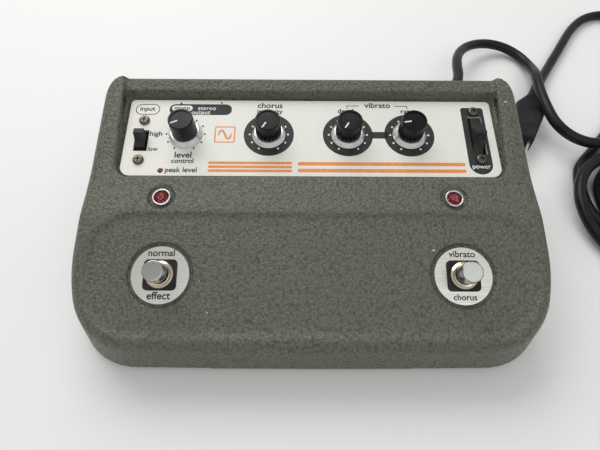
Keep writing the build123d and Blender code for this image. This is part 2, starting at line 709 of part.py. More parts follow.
def make_supply_parts():
    top = FLOOR_TOP + 7.6
    parts = [Pos(x, y, 0) * disc(4.5, top, top + 9.0) for x, y in ((78, -12), (90, -12))]
    parts.append(block(72, 84, -3, 2, top, top + 6))
    parts += [Pos(x, y, 0) * disc(2.6, FLOOR_TOP, FLOOR_TOP + 6.0) for x in (73, 101) for y in (-17, 1)]
    return group(parts)


# ---- mains lead ----
# From the strain relief it runs back, round and over the plug's neck to a loose coil on the
# floor, and from the coil round to the plug.
SLEEVE_END = rear_y(GLAND_Z) + RELIEF_LENGTH
CORD_ROUTE = [
    (GLAND_X, SLEEVE_END, GLAND_Z), (99, 111, 25), (106, 125, 24.6), (108, 141, 22.6),
    (112, 156.5, 19.3), (119.5, 170.5, 15.6), (130.5, 181.5, 12), (144.5, 188, 8.8),
    (158.5, 187.3, 6.2), (169, 179, 4.7), (173.5, 165.5, 5.5), (171.5, 150.5, 11),
    (167, 136.5, 17.2), (164, 120, 18.5), (163.8, 103, 18.3), (166.5, 88, 16.5),
    (175.5, 77.3, 14.5), (188.5, 73, 13), (202.5, 74.2, 12.2), (216.3, 78.5, 12),
]
LEAD_ROUTE = [
    (180, 62, 3.8), (195, 77, 3.8), (214, 98, 3.8), (237, 120, 3.8), (262, 146, 3.8),
    (283, 172, 3.8), (292, 199, 3.8), (289.5, 219, 3.8), (276.5, 233, 3.8), (258, 238, 3.8),
    (240, 232, 3.8), (223.5, 215, 3.8), (207, 190, 3.8), (190, 165, 3.8), (179, 148.5, 5.2),
    (171.9, 136.9, 7.0),
]
COIL_CENTRE = (215.0, 30.3)
COIL_OUTER = 56.0
COIL_INNER = 29.0
COIL_HEIGHT = 18.0
PLUG_HEADING = 62.5          # from the pins to the cord, degrees from +X
PLUG_Z = 7.0
PLUG_NECK = 18.0
PLUG_SHOULDER = 12.0
PLUG_BODY = 44.0
PIN_LENGTH = 17.0
PIN_SPACING = 12.7


def lay_tube(route):
    """Round tube along straight runs joined by tangent arcs, as large as the runs allow."""
    points = [Vector(*p) for p in route]
    radii = []
    for before, here, after in zip(points, points[1:], points[2:]):
        turn = math.radians((here - before).get_angle(after - here))
        shorter = min((here - before).length, (after - here).length)
        radii.append(0.45 * shorter / math.tan(turn / 2))
    path = FilletPolyline(*points, radius=radii)
    start = Plane(origin=points[0], z_dir=points[1] - points[0])
    solid = sweep(start * Circle(CORD_R), path=path)
    wanted = math.pi * CORD_R ** 2 * path.length
    print("cord length", round(path.length, 1), "volume", round(solid.volume / wanted, 4),
          "radii", [round(r) for r in radii])
    return solid


def make_cord_coil():
    """Outer shape of the loose coil."""
    return Pos(*COIL_CENTRE, 0) * tube(COIL_OUTER, COIL_INNER, 0, COIL_HEIGHT)


def plug_place():
    """A frame at the plug's cord end, its local Z pointing to the pins."""
    end = LEAD_ROUTE[-1]
    heading = math.radians(PLUG_HEADING)
    return Plane(origin=(end[0], end[1], PLUG_Z), x_dir=(math.sin(heading), -math.cos(heading), 0),
                 z_dir=(-math.cos(heading), -math.sin(heading), 0))


def make_plug_body():
    """Flat two-pin plug with sloping shoulders and a tapered strain relief."""
    neck = cone(3.9, 5.4, 0, PLUG_NECK + 3)
    low = Pos(0, 0, PLUG_NECK) * Rectangle(11, 10.5)
    wide = Pos(0, 0, PLUG_NECK + PLUG_SHOULDER) * Rectangle(20.5, 13.4)
    nose = Pos(0, 0, PLUG_NECK + PLUG_BODY) * Rectangle(18.0, 12.4)
    body = loft([low.face(), wide.face()], ruled=True) + loft([wide.face(), nose.face()], ruled=True)
    body = fillet(body.edges().filter_by(lambda e: abs(e.tangent_at(0.5).Z) > 0.5), 2.0)
    return at(plug_place(), body + neck)


def make_plug_pins():
    """Two flat blades with a hole near each tip."""
    blades = []
    for side in SIDES:
        x = side * PIN_SPACING / 2
        end = PLUG_NECK + PLUG_BODY + PIN_LENGTH
        blade = block(x - 0.75, x + 0.75, -3.15, 3.15, end - PIN_LENGTH - 6, end)
        blade -= Pos(x, 0, end - 3.5) * Rot(0, 90, 0) * disc(1.6, -2, 2)
        blades.append(at(plug_place(), blade))
    return group(blades)


# ---- writing ----
def build_nodes():
    nodes = {
        "top_cover": make_top_cover(), "base_plate": make_base_plate(),
        "rubber_feet": make_rubber_feet(), "base_screws": make_base_screws(),
        "control_plate": make_control_plate(), "switch_screws": make_switch_screws(),
        "pot_nuts": make_pot_nuts(), "peak_lamp": make_peak_lamp(),
        "lamp_bezels": make_lamp_bezels(), "lamp_lenses": make_lamp_lenses(),
        "lamp_holders": make_lamp_holders(), "lamp_nuts": make_lamp_nuts(),
        "foot_discs": make_foot_discs(), "switch_gaskets": make_switch_gaskets(),
        "dress_nuts": make_dress_nuts(), "switch_bushes": make_switch_bushes(),
        "lock_nuts": make_lock_nuts(), "switch_cases": make_switch_cases(),
        "effect_button": make_button(-1), "mode_button": make_button(1),
        "jack_nuts": make_jack_nuts(), "jack_washers": make_jack_washers(),
        "strain_relief": make_strain_relief(),
        "transformer_core": make_transformer_core(), "transformer_coil": make_transformer_coil(),
        "transformer_frame": make_transformer_frame(), "inside_screws": make_inside_screws(),
        "main_board": make_main_board(), "board_standoffs": make_standoffs(),
        "board_parts": make_board_parts(), "supply_board": make_supply_board(),
        "supply_parts": make_supply_parts(),
        "mains_cord": lay_tube(CORD_ROUTE), "plug_cord": lay_tube(LEAD_ROUTE),
        "cord_coil": make_cord_coil(), "plug_body": make_plug_body(), "plug_pins": make_plug_pins(),
    }
    for name, (u, clock) in KNOBS.items():
        nodes[name + "_knob"] = make_knob(u, clock)
        nodes[name + "_skirt"] = make_skirt(u, clock)
        nodes[name + "_shaft"] = make_shaft(u)
        nodes[name + "_pot"] = make_pot(u)
    for name, x in JACKS.items():
        nodes[name + "_jack"] = make_jack(x)
    for name, screws in (("input", SWITCH_SCREWS[:2]), ("power", SWITCH_SCREWS[2:])):
        nodes[name + "_rocker"] = make_rocker(ROCKERS[name])
        nodes[name + "_rocker_case"] = make_rocker_case(ROCKERS[name], screws)
    return nodes


os.makedirs("parts", exist_ok=True)
for node, shape in build_nodes().items():
    export_step(shape, os.path.join("parts", node + ".step"))
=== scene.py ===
import bpy
import bmesh
import json
import math
from mathutils import Matrix, Vector


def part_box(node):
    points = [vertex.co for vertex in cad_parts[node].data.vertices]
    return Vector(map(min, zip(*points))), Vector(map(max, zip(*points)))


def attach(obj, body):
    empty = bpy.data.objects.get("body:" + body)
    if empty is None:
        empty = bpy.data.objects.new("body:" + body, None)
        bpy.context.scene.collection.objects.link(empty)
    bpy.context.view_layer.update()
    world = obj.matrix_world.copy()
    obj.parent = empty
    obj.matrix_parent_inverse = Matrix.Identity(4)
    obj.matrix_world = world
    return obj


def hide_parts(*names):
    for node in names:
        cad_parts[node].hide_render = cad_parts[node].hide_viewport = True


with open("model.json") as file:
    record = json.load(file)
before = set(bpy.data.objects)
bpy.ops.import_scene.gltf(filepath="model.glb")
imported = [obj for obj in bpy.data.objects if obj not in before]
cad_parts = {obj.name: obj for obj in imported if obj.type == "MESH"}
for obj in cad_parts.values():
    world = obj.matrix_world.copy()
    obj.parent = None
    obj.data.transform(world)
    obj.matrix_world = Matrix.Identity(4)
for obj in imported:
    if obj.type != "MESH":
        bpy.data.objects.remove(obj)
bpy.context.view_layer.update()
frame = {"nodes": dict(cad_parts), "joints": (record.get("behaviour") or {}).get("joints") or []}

# Looks of a chorus and vibrato foot pedal, in metres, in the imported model's own frame.
MM = 0.001
JOINTS = {joint["name"]: joint for joint in frame["joints"]}
NODES = frame["nodes"]
HOUSING = "housing"
scene = bpy.context.scene
scene.view_settings.view_transform = "Standard"


# ---- places on the object, from its joints ----
def joint_place(name):
    return Vector(JOINTS[name]["pos_m"])


NORMAL = Vector(JOINTS["depth_turn"]["axis"]).normalized()
ACROSS = Vector((1, 0, 0))
UP_PLATE = NORMAL.cross(ACROSS)
KNOB_V = 1.6 * MM
PANEL_ORIGIN = joint_place("depth_turn") - ACROSS * joint_place("depth_turn").x - UP_PLATE * KNOB_V
FOOT_NORMAL = -Vector(JOINTS["mode_press"]["axis"]).normalized()


def plane_matrix(origin, normal):
    """A frame with its X across the pedal, its Z along the normal."""
    up = normal.cross(ACROSS)
    return Matrix.Translation(origin) @ Matrix((ACROSS, up, normal)).transposed().to_4x4()


PANEL = plane_matrix(PANEL_ORIGIN, NORMAL)


def foot_matrix(button):
    """A frame on top of one foot switch's bright disc, found from the disc's own points."""
    side = math.copysign(1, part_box(button)[0].x)
    points = [v.co for v in NODES["foot_discs"].data.vertices if v.co.x * side > 0]
    up = FOOT_NORMAL.cross(ACROSS)
    middle = Vector()
    for axis in (ACROSS, up):
        reach = [p.dot(axis) for p in points]
        middle += axis * (min(reach) + max(reach)) / 2
    middle += FOOT_NORMAL * max(p.dot(FOOT_NORMAL) for p in points)
    return plane_matrix(middle, FOOT_NORMAL)


KNOB_U = {name: joint_place(name + "_turn").x / MM for name in ("level", "intensity", "depth", "rate")}
CLOCK = {"level": -115.0, "intensity": -150.0, "depth": -150.0, "rate": -100.0}
KNOB_FACE = 13.0            # sunk face of a knob, in millimetres


# ---- camera ----
LENS = 28.1                 # focal length on a 36 mm sensor
CAMERA_PLACE = (-7.3, -145.1, 237.9)
CAMERA_AIM = (-5.5, 16.2, 0.0)
CAMERA_ROLL = 0.776         # degrees


def make_camera():
    data = bpy.data.cameras.new("camera")
    data.lens = LENS
    data.clip_start = 0.01
    camera = bpy.data.objects.new("camera", data)
    scene.collection.objects.link(camera)
    place = Vector(CAMERA_PLACE) * MM
    aim = Vector(CAMERA_AIM) * MM
    roll = Matrix.Rotation(math.radians(CAMERA_ROLL), 3, "Z")
    turn = (aim - place).to_track_quat("-Z", "Y").to_matrix() @ roll
    camera.matrix_world = Matrix.Translation(place) @ turn.to_4x4()
    scene.camera = camera


make_camera()

# ---- mains lead ----
CORD_R = 3.5                # lengths of the lead are in millimetres
CORD_ROUTE = [
    (98, 97.85, 25), (99, 111, 25), (106, 125, 24.6), (108, 141, 22.6), (112, 156.5, 19.3),
    (119.5, 170.5, 15.6), (130.5, 181.5, 12), (144.5, 188, 8.8), (158.5, 187.3, 6.2),
    (169, 179, 4.7), (173.5, 165.5, 5.5), (171.5, 150.5, 11), (167, 136.5, 17.2), (164, 120, 18.5),
    (163.8, 103, 18.3), (166.5, 88, 16.5), (175.5, 77.3, 14.5), (188.5, 73, 13), (202.8, 76.5, 12.2),
]
LEAD_ROUTE = [
    (180, 62, 3.8), (195, 77, 3.8), (214, 98, 3.8), (237, 120, 3.8), (262, 146, 3.8),
    (283, 172, 3.8), (292, 199, 3.8), (289.5, 219, 3.8), (276.5, 233, 3.8), (258, 238, 3.8),
    (240, 232, 3.8), (223.5, 215, 3.8), (207, 190, 3.8), (190, 165, 3.8), (179, 148.5, 5.2),
    (171.9, 136.9, 7.0),
]
COIL_CENTRE = (215.0, 30.3)
COIL_START = 82.0           # angle of its first point round the centre, degrees
COIL_STEP = 22.5
# Radius and height every eighth of a turn, for four turns.
COIL_KEYS = [
    (48, 12), (50, 11.5), (50.5, 11), (52, 7.4), (52, 3.8), (53, 6), (48, 11), (40.5, 11),
    (40, 11), (41.5, 11), (43, 11), (42, 11), (40, 11), (36.5, 11), (33.5, 11), (32.5, 11),
    (32, 11), (34.5, 7.8), (38, 3.8), (37, 3.8), (36, 3.8), (33, 3.8), (31, 3.8), (33.5, 3.8),
    (37, 3.8), (41.5, 3.8), (46, 3.8), (45, 3.8), (44, 3.8), (40.5, 3.8), (42.5, 3.8), (47, 3.8),
]


def coil_points():
    """Points of the loose turns, clockwise from above, wandering inwards and back out."""
    points = []
    for step in range(2 * len(COIL_KEYS) - 2):
        index, half = divmod(step, 2)
        radius, height = COIL_KEYS[index]
        if half:
            radius = (radius + COIL_KEYS[index + 1][0]) / 2
            height = (height + COIL_KEYS[index + 1][1]) / 2
        turn = math.radians(COIL_START - COIL_STEP * step)
        x = COIL_CENTRE[0] + radius * math.cos(turn)
        y = COIL_CENTRE[1] + radius * math.sin(turn)
        points.append((x, y, height))
    return points


def make_cord():
    data = bpy.data.curves.new("mains_lead", "CURVE")
    data.dimensions = "3D"
    spline = data.splines.new("NURBS")
    points = CORD_ROUTE + coil_points() + LEAD_ROUTE
    spline.points.add(len(points) - 1)
    for target, point in zip(spline.points, points):
        target.co = (point[0] * MM, point[1] * MM, point[2] * MM, 1)
        target.radius = CORD_R * MM
    spline.order_u = 3
    spline.use_endpoint_u = True
    spline.resolution_u = 8
    data.bevel_depth = 1.0
    data.bevel_resolution = 6
    data.use_fill_caps = True
    cord = bpy.data.objects.new("mains_lead", data)
    scene.collection.objects.link(cord)
    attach(cord, HOUSING)
    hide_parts("mains_cord", "plug_cord", "cord_coil")
    return cord


cord = make_cord()


# ---- stage ----
def make_floor():
    mesh = bpy.data.meshes.new("floor")
    mesh.from_pydata([(-4, -4, 0), (4, -4, 0), (4, 4, 0), (-4, 4, 0)], [], [(0, 1, 2, 3)])
    floor = bpy.data.objects.new("floor", mesh)
    scene.collection.objects.link(floor)
    return floor


floor = make_floor()


def area_light(name, place, aim, size, power):
    data = bpy.data.lights.new(name, "AREA")
    data.shape = "RECTANGLE"
    data.size, data.size_y = size
    data.energy = power
    light = bpy.data.objects.new(name, data)
    scene.collection.objects.link(light)
    light.location = place
    light.rotation_euler = (Vector(aim) - Vector(place)).to_track_quat("-Z", "Y").to_euler()


area_light("window", (-0.35, 0.85, 1.0), (0, 0, 0), (1.2, 0.8), 10.5)
area_light("ceiling", (0.25, -0.95, 1.5), (0.05, 0, 0), (1.9, 1.4), 8.0)
world = bpy.data.worlds.new("studio")
scene.world = world
world.use_nodes = True
world.node_tree.nodes["Background"].inputs["Color"].default_value = (1.0, 0.995, 0.985, 1)
world.node_tree.nodes["Background"].inputs["Strength"].default_value = 0.49


# ---- materials ----
class Shader:
    """One procedural material, its textures measured in the object's own coordinates."""

    def __init__(self, name, colour, roughness, metallic=0.0):
        self.material = bpy.data.materials.new(name)
        self.material.use_nodes = True
        self.tree = self.material.node_tree
        self.surface = self.tree.nodes["Principled BSDF"]
        self.set("Base Color", (*colour, 1))
        self.set("Roughness", roughness)
        self.set("Metallic", metallic)
        self.place = self.tree.nodes.new("ShaderNodeTexCoord").outputs["Object"]

    def set(self, socket, value):
        self.surface.inputs[socket].default_value = value

    def add(self, kind, **values):
        node = self.tree.nodes.new(kind)
        for key, value in values.items():
            setattr(node, key, value)
        return node

    def join(self, output, socket):
        self.tree.links.new(output, socket)

    def stretched(self, scale):
        """Object coordinates scaled apart on their axes, for grain that runs one way."""
        mapping = self.add("ShaderNodeMapping")
        mapping.inputs["Scale"].default_value = scale
        self.join(self.place, mapping.inputs["Vector"])
        return mapping.outputs["Vector"]

    def noise(self, scale, detail=3.0, roughness=0.55, place=None):
        node = self.add("ShaderNodeTexNoise")
        node.inputs["Scale"].default_value = scale
        node.inputs["Detail"].default_value = detail
        node.inputs["Roughness"].default_value = roughness
        self.join(place or self.place, node.inputs["Vector"])
        return node.outputs["Fac"]

    def cells(self, scale, feature="SMOOTH_F1"):
        node = self.add("ShaderNodeTexVoronoi", feature=feature)
        node.inputs["Scale"].default_value = scale
        self.join(self.place, node.inputs["Vector"])
        return node.outputs["Distance"]

    def ramp(self, value, low, high, start=0.0, end=1.0):
        """A number in the band low to high, spread from start to end."""
        node = self.add("ShaderNodeMapRange")
        for socket, number in (("From Min", low), ("From Max", high), ("To Min", start), ("To Max", end)):
            node.inputs[socket].default_value = number
        self.join(value, node.inputs["Value"])
        return node.outputs["Result"]

    def math(self, operation, a, b):
        node = self.add("ShaderNodeMath", operation=operation)
        for socket, value in zip(node.inputs, (a, b)):
            if isinstance(value, (int, float)):
                socket.default_value = value
            else:
                self.join(value, socket)
        return node.outputs["Value"]

    def mix_sockets(self, share, first, second):
        """A colour between two, each a colour or another node's output."""
        node = self.add("ShaderNodeMix", data_type="RGBA")
        self.join(share, node.inputs[0])
        for socket, colour in ((node.inputs[6], first), (node.inputs[7], second)):
            if isinstance(colour, tuple):
                socket.default_value = (*colour, 1)
            else:
                self.join(colour, socket)
        return node.outputs[2]

    def colour(self, output):
        self.join(output, self.surface.inputs["Base Color"])

    def roughness(self, output):
        self.join(output, self.surface.inputs["Roughness"])

    def bump(self, height, depth, strength=1.0):
        """Relief of this depth in metres."""
        node = self.add("ShaderNodeBump")
        node.inputs["Distance"].default_value = depth
        node.inputs["Strength"].default_value = strength
        self.join(height, node.inputs["Height"])
        self.join(node.outputs["Normal"], self.surface.inputs["Normal"])


def hammered_paint():
    """Grey-green crinkle paint over a casting, with a few chips down to bare metal, and painted light and
    shade on its crinkle grain.
    """
    shader = Shader("hammered_paint", (0.105, 0.108, 0.082), 0.38)
    grains = shader.cells(820.0)
    fine = shader.noise(1300.0, detail=2.0)
    patches = shader.noise(24.0, detail=3.0)
    relief = shader.math("ADD", shader.math("MULTIPLY", grains, 0.9), shader.math("MULTIPLY", fine, 0.6))
    # Painted light and shade: the colour is lighter on the raised grain and darker in its hollows,
    # following the relief that the bump uses.
    tone = shader.mix_sockets(shader.ramp(relief, 0.45, 1.0), (0.136, 0.138, 0.104), (0.052, 0.054, 0.040))
    tone = shader.mix_sockets(shader.ramp(patches, 0.35, 0.7, 0.0, 0.2), tone, (0.090, 0.092, 0.070))
    spots = shader.ramp(shader.noise(330.0, detail=1.0), 0.755, 0.770)
    chipped = shader.math("MULTIPLY", spots, shader.ramp(shader.noise(31.0, detail=0.0), 0.58, 0.62))
    shader.colour(shader.mix_sockets(chipped, tone, (0.62, 0.62, 0.59)))
    shader.roughness(shader.ramp(relief, 0.3, 1.0, 0.30, 0.52))
    shader.bump(relief, -0.00060, 1.0)
    return shader.material


def plate_paint():
    """Pale satin enamel on the control plate, faintly mottled."""
    shader = Shader("plate_paint", (0.78, 0.78, 0.72), 0.38)
    speckle = shader.noise(1400.0, detail=2.0)
    age = shader.noise(22.0, detail=4.0)
    tone = shader.mix_sockets(shader.ramp(speckle, 0.35, 0.65), (0.80, 0.80, 0.745), (0.74, 0.74, 0.68))
    shader.colour(shader.mix_sockets(shader.ramp(age, 0.45, 0.75, 0.0, 0.3), tone, (0.70, 0.69, 0.61)))
    shader.bump(speckle, 0.00003, 0.5)
    return shader.material


INK_ROUGHNESS = 0.45


def ink(name, colour):
    """Screen-printed ink, very slightly uneven."""
    shader = Shader(name, colour, INK_ROUGHNESS)
    patch = shader.noise(500.0, detail=2.0)
    lighter = tuple(min(1.0, c * 1.25 + 0.01) for c in colour)
    shader.colour(shader.mix_sockets(shader.ramp(patch, 0.4, 0.8), colour, lighter))
    shader.set("Specular IOR Level", 0.25)
    return shader.material


def moulded_plastic(name, colour, roughness, grain=0.00004, dust=0.04):
    """Moulded plastic or rubber with fine grain and a little dust."""
    shader = Shader(name, colour, roughness)
    fine = shader.noise(2600.0, detail=2.0)
    wear = shader.noise(120.0, detail=5.0)
    dusty = tuple(min(1.0, c + dust) for c in colour)
    shader.colour(shader.mix_sockets(shader.ramp(wear, 0.45, 0.75), colour, dusty))
    shader.roughness(shader.ramp(wear, 0.3, 0.7, roughness - 0.05, min(1.0, roughness + 0.12)))
    shader.bump(fine, grain, 0.6)
    shader.set("Specular IOR Level", 0.22)
    return shader.material


SCRATCH_DEPTH = 0.00001     # metres


def worn_metal(name, colour, roughness):
    """Metal with faint smears in its polish."""
    shader = Shader(name, colour, roughness, 1.0)
    smear = shader.noise(260.0, detail=5.0)
    duller = tuple(c * 0.82 for c in colour)
    shader.colour(shader.mix_sockets(shader.ramp(smear, 0.45, 0.8), colour, duller))
    shader.roughness(shader.ramp(smear, 0.3, 0.75, roughness, roughness + 0.14))
    shader.bump(shader.noise(1800.0, detail=1.0), SCRATCH_DEPTH, 0.4)
    return shader.material


def brushed_metal(name, colour, roughness):
    """Metal with long fine marks across the pedal."""
    shader = Shader(name, colour, roughness, 1.0)
    marks = shader.noise(1.0, detail=4.0, place=shader.stretched((60.0, 2200.0, 400.0)))
    shader.roughness(shader.ramp(marks, 0.3, 0.7, roughness - 0.06, roughness + 0.10))
    darker = tuple(c * 0.86 for c in colour)
    shader.colour(shader.mix_sockets(shader.ramp(marks, 0.35, 0.7), colour, darker))
    shader.bump(marks, SCRATCH_DEPTH, 0.4)
    return shader.material


def red_lens():
    """Faceted red plastic, with painted highlights on its facets and painted shade between them."""
    shader = Shader("red_lens", (0.45, 0.004, 0.006), 0.06)
    shader.set("IOR", 1.49)
    shader.set("Coat Weight", 0.6)
    facets = shader.cells(760.0, "F1")
    # Painted light: bright red in the middle of each facet cell as a painted glint, near black towards its
    # edges as painted shade.
    painted_glint_red, dark = (0.50, 0.012, 0.012), (0.06, 0.001, 0.002)
    shader.colour(shader.mix_sockets(shader.ramp(facets, 0.25, 0.6), painted_glint_red, dark))
    shader.bump(facets, 0.0009, 1.0)
    return shader.material


def circuit_green():
    """Lacquered circuit board with paler tracks."""
    shader = Shader("circuit_green", (0.02, 0.12, 0.05), 0.35)
    tracks = shader.cells(260.0, "DISTANCE_TO_EDGE")
    track, ground = (0.05, 0.25, 0.10), (0.015, 0.10, 0.04)
    shader.colour(shader.mix_sockets(shader.ramp(tracks, 0.02, 0.05), track, ground))
    return shader.material


def pale_floor():
    """Plain pale surface, very slightly uneven in tone."""
    shader = Shader("pale_floor", (0.82, 0.82, 0.815), 0.6)
    shade = shader.noise(1.3, detail=1.0)
    light, dull = (0.835, 0.833, 0.826), (0.815, 0.813, 0.806)
    shader.colour(shader.mix_sockets(shader.ramp(shade, 0.3, 0.7), light, dull))
    return shader.material


PAINT = hammered_paint()
BLACK_PLASTIC = moulded_plastic("knob_black", (0.004, 0.004, 0.004), 0.20, grain=0.000006, dust=0.003)
SWITCH_PLASTIC = moulded_plastic("switch_black", (0.022, 0.022, 0.022), 0.5)
PAD_RUBBER = moulded_plastic("pad_rubber", (0.017, 0.017, 0.017), 0.7, dust=0.03)
CORD_RUBBER = moulded_plastic("cord_rubber", (0.008, 0.008, 0.009), 0.34, grain=0.00002, dust=0.006)
PLUG_PLASTIC = moulded_plastic("plug_plastic", (0.013, 0.013, 0.014), 0.45, grain=0.00005, dust=0.015)
BRIGHT = worn_metal("bright_metal", (0.94, 0.94, 0.94), 0.24)
DISC_METAL = brushed_metal("disc_metal", (0.66, 0.665, 0.62), 0.34)
BRONZE = worn_metal("warm_nickel", (0.74, 0.65, 0.50), 0.14)
PIN_METAL = worn_metal("pin_metal", (0.72, 0.71, 0.68), 0.22)
CHROME = worn_metal("chrome", (0.80, 0.81, 0.83), 0.07)
BUTTON_METAL = Shader("button_metal", (0.44, 0.45, 0.42), 0.20, 1.0).material
DARK_STEEL = worn_metal("dark_steel", (0.15, 0.135, 0.11), 0.28)
STEEL = worn_metal("plain_steel", (0.55, 0.55, 0.54), 0.32)
BRASS = worn_metal("brass", (0.78, 0.60, 0.28), 0.22)
PLATE = plate_paint()
BLACK_INK = ink("black_ink", (0.018, 0.018, 0.018))
GREEN_INK = ink("green_ink", (0.022, 0.030, 0.026))
WHITE_INK = ink("white_ink", (0.78, 0.78, 0.74))
ORANGE_INK = ink("orange_ink", (0.73, 0.26, 0.07))
RED_LENS = red_lens()
BOARD_GREEN = circuit_green()
CHIP = moulded_plastic("chip_plastic", (0.02, 0.02, 0.022), 0.5)
WINDING = moulded_plastic("winding_tape", (0.60, 0.38, 0.07), 0.4)
CORE = worn_metal("core_iron", (0.20, 0.19, 0.18), 0.5)
BASE_STEEL = worn_metal("base_steel", (0.06, 0.06, 0.06), 0.4)
FLOOR = pale_floor()

NODE_MATERIALS = {
    PAINT: ["top_cover"],
    BASE_STEEL: ["base_plate"],
    PAD_RUBBER: ["rubber_feet", "switch_gaskets"],
    DARK_STEEL: ["base_screws", "switch_screws"],
    PLATE: ["control_plate"],
    STEEL: ["pot_nuts", "lamp_nuts", "lock_nuts", "jack_nuts", "jack_washers", "transformer_frame",
            "inside_screws", "input_jack", "mono_jack", "stereo_jack", "level_pot", "intensity_pot",
            "depth_pot", "rate_pot"],
    RED_LENS: ["peak_lamp", "lamp_lenses"],
    CHROME: ["lamp_bezels", "switch_bushes"],
    BUTTON_METAL: ["effect_button", "mode_button"],
    BRONZE: ["dress_nuts"],
    DISC_METAL: ["foot_discs"],
    SWITCH_PLASTIC: ["lamp_holders", "switch_cases", "input_rocker", "power_rocker", "input_rocker_case",
                     "power_rocker_case"],
    BRIGHT: [k + part for k in KNOB_U for part in ("_skirt", "_shaft")],
    BLACK_PLASTIC: [k + "_knob" for k in KNOB_U],
    CORD_RUBBER: ["strain_relief"],
    PLUG_PLASTIC: ["plug_body"],
    PIN_METAL: ["plug_pins"],
    BRASS: ["board_standoffs"],
    CORE: ["transformer_core"],
    WINDING: ["transformer_coil"],
    BOARD_GREEN: ["main_board", "supply_board"],
    CHIP: ["board_parts", "supply_parts"],
}
SMOOTH_ANGLE = 32.0


def set_material(piece, material):
    piece.data.materials.clear()
    piece.data.materials.append(material)


def smooth_by_angle(piece, angle=SMOOTH_ANGLE):
    """Soft shading across gentle bends, crisp at sharp ones."""
    mesh = piece.data
    for polygon in mesh.polygons:
        polygon.use_smooth = True
    mesh.set_sharp_from_angle(angle=math.radians(angle))


def dress_nodes():
    for material, names in NODE_MATERIALS.items():
        for name in names:
            set_material(NODES[name], material)
            smooth_by_angle(NODES[name])


dress_nodes()
set_material(cord, CORD_RUBBER)
set_material(floor, FLOOR)


# ---- making pieces ----
def add_piece(name, mesh, material, body, matrix=None):
    """A new piece that rides on a body and takes its finish from a slot."""
    piece = bpy.data.objects.new(name, mesh)
    scene.collection.objects.link(piece)
    if matrix is not None:
        piece.matrix_world = matrix
    set_material(piece, material)
    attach(piece, body)
    return piece


def apply_modifiers(piece):
    """The piece's mesh with its modifiers made real."""
    graph = bpy.context.evaluated_depsgraph_get()
    mesh = bpy.data.meshes.new_from_object(piece.evaluated_get(graph))
    piece.modifiers.clear()
    old = piece.data
    piece.data = mesh
    bpy.data.meshes.remove(old)


# ---- housing ----
VOXEL = 0.75 * MM
SOFTEN_PASSES = 10
WELL_SOFTNESS = 0.18        # share of the softening that reaches the wells
KEPT_FACES = 0.30
WELL_REACH = (9.0 * MM, 17.5 * MM)      # round a lamp and round a foot switch


def well_centres():
    """Middles of the lamps' and foot switches' wells, with how far each is kept crisp."""
    lo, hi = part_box("lamp_bezels")
    middle = (hi.y + lo.y) / 2
    edge = (hi.y - lo.y) / 2
    places = [(Vector((x, middle, hi.z)), WELL_REACH[0]) for x in (lo.x + edge, hi.x - edge)]
    for button in ("effect_button", "mode_button"):
        places.append((foot_matrix(button).translation, WELL_REACH[1]))
    return places


def make_housing():
    """The casting with its edges softened as thick paint leaves them."""
    mesh = NODES["top_cover"].data.copy()
    piece = add_piece("housing_shell", mesh, PAINT, HOUSING)
    remesh = piece.modifiers.new("remesh", "REMESH")
    remesh.mode = "VOXEL"
    remesh.voxel_size = VOXEL
    apply_modifiers(piece)
    soft = piece.vertex_groups.new(name="soft")
    wells = well_centres()
    for vertex in piece.data.vertices:
        near = any((vertex.co - place).length < reach for place, reach in wells)
        soft.add([vertex.index], WELL_SOFTNESS if near else 1.0, "REPLACE")
    soften = piece.modifiers.new("soften", "SMOOTH")
    soften.factor = 0.5
    soften.iterations = SOFTEN_PASSES
    soften.vertex_group = "soft"
    thin = piece.modifiers.new("thin", "DECIMATE")
    thin.ratio = KEPT_FACES
    apply_modifiers(piece)
    piece.vertex_groups.clear()
    for polygon in piece.data.polygons:
        polygon.use_smooth = True
    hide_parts("top_cover")
    return piece


make_housing()

# ---- printed artwork ----
INK_THICK = 0.03            # millimetres
CORNER_STEPS = 10
# Height of the middle of each coat of ink above what it is printed on, in millimetres.
LIFT_FIRST, LIFT_SECOND, LIFT_THIRD = 0.02, 0.05, 0.08
BOLD = 0.018                # extra weight of the lettering, in its own height


def print_curve(name):
    data = bpy.data.curves.new(name, "CURVE")
    data.dimensions = "2D"
    data.fill_mode = "BOTH"
    data.extrude = INK_THICK * MM / 2
    return data


def outline(data, points):
    """One closed outline, in millimetres. An outline inside another is a hole."""
    spline = data.splines.new("POLY")
    spline.points.add(len(points) - 1)
    for target, (x, y) in zip(spline.points, points):
        target.co = (x * MM, y * MM, 0, 1)
    spline.use_cyclic_u = True


def arc(centre, radius, start, end, steps=24):
    """Points on an arc, its angles anticlockwise from +X in degrees."""
    points = []
    for i in range(steps + 1):
        angle = math.radians(start + (end - start) * i / steps)
        points.append((centre[0] + radius * math.cos(angle), centre[1] + radius * math.sin(angle)))
    return points


def circle(centre, radius, steps=72):
    return arc(centre, radius, 0, 360, steps)[:-1]


def rounded_box(u0, u1, v0, v1, radius):
    """Outline of a rectangle with round corners."""
    centres = ((u1 - radius, v1 - radius), (u0 + radius, v1 - radius),
               (u0 + radius, v0 + radius), (u1 - radius, v0 + radius))
    points = []
    for quarter, centre in enumerate(centres):
        points += arc(centre, radius, 90 * quarter, 90 * quarter + 90, CORNER_STEPS)
    return points


def curve_mesh(data):
    """A curve's filled shape as a mesh."""
    holder = bpy.data.objects.new("holder", data)
    scene.collection.objects.link(holder)
    bpy.context.view_layer.update()
    graph = bpy.context.evaluated_depsgraph_get()
    mesh = bpy.data.meshes.new_from_object(holder.evaluated_get(graph))
    bpy.data.objects.remove(holder)
    return mesh


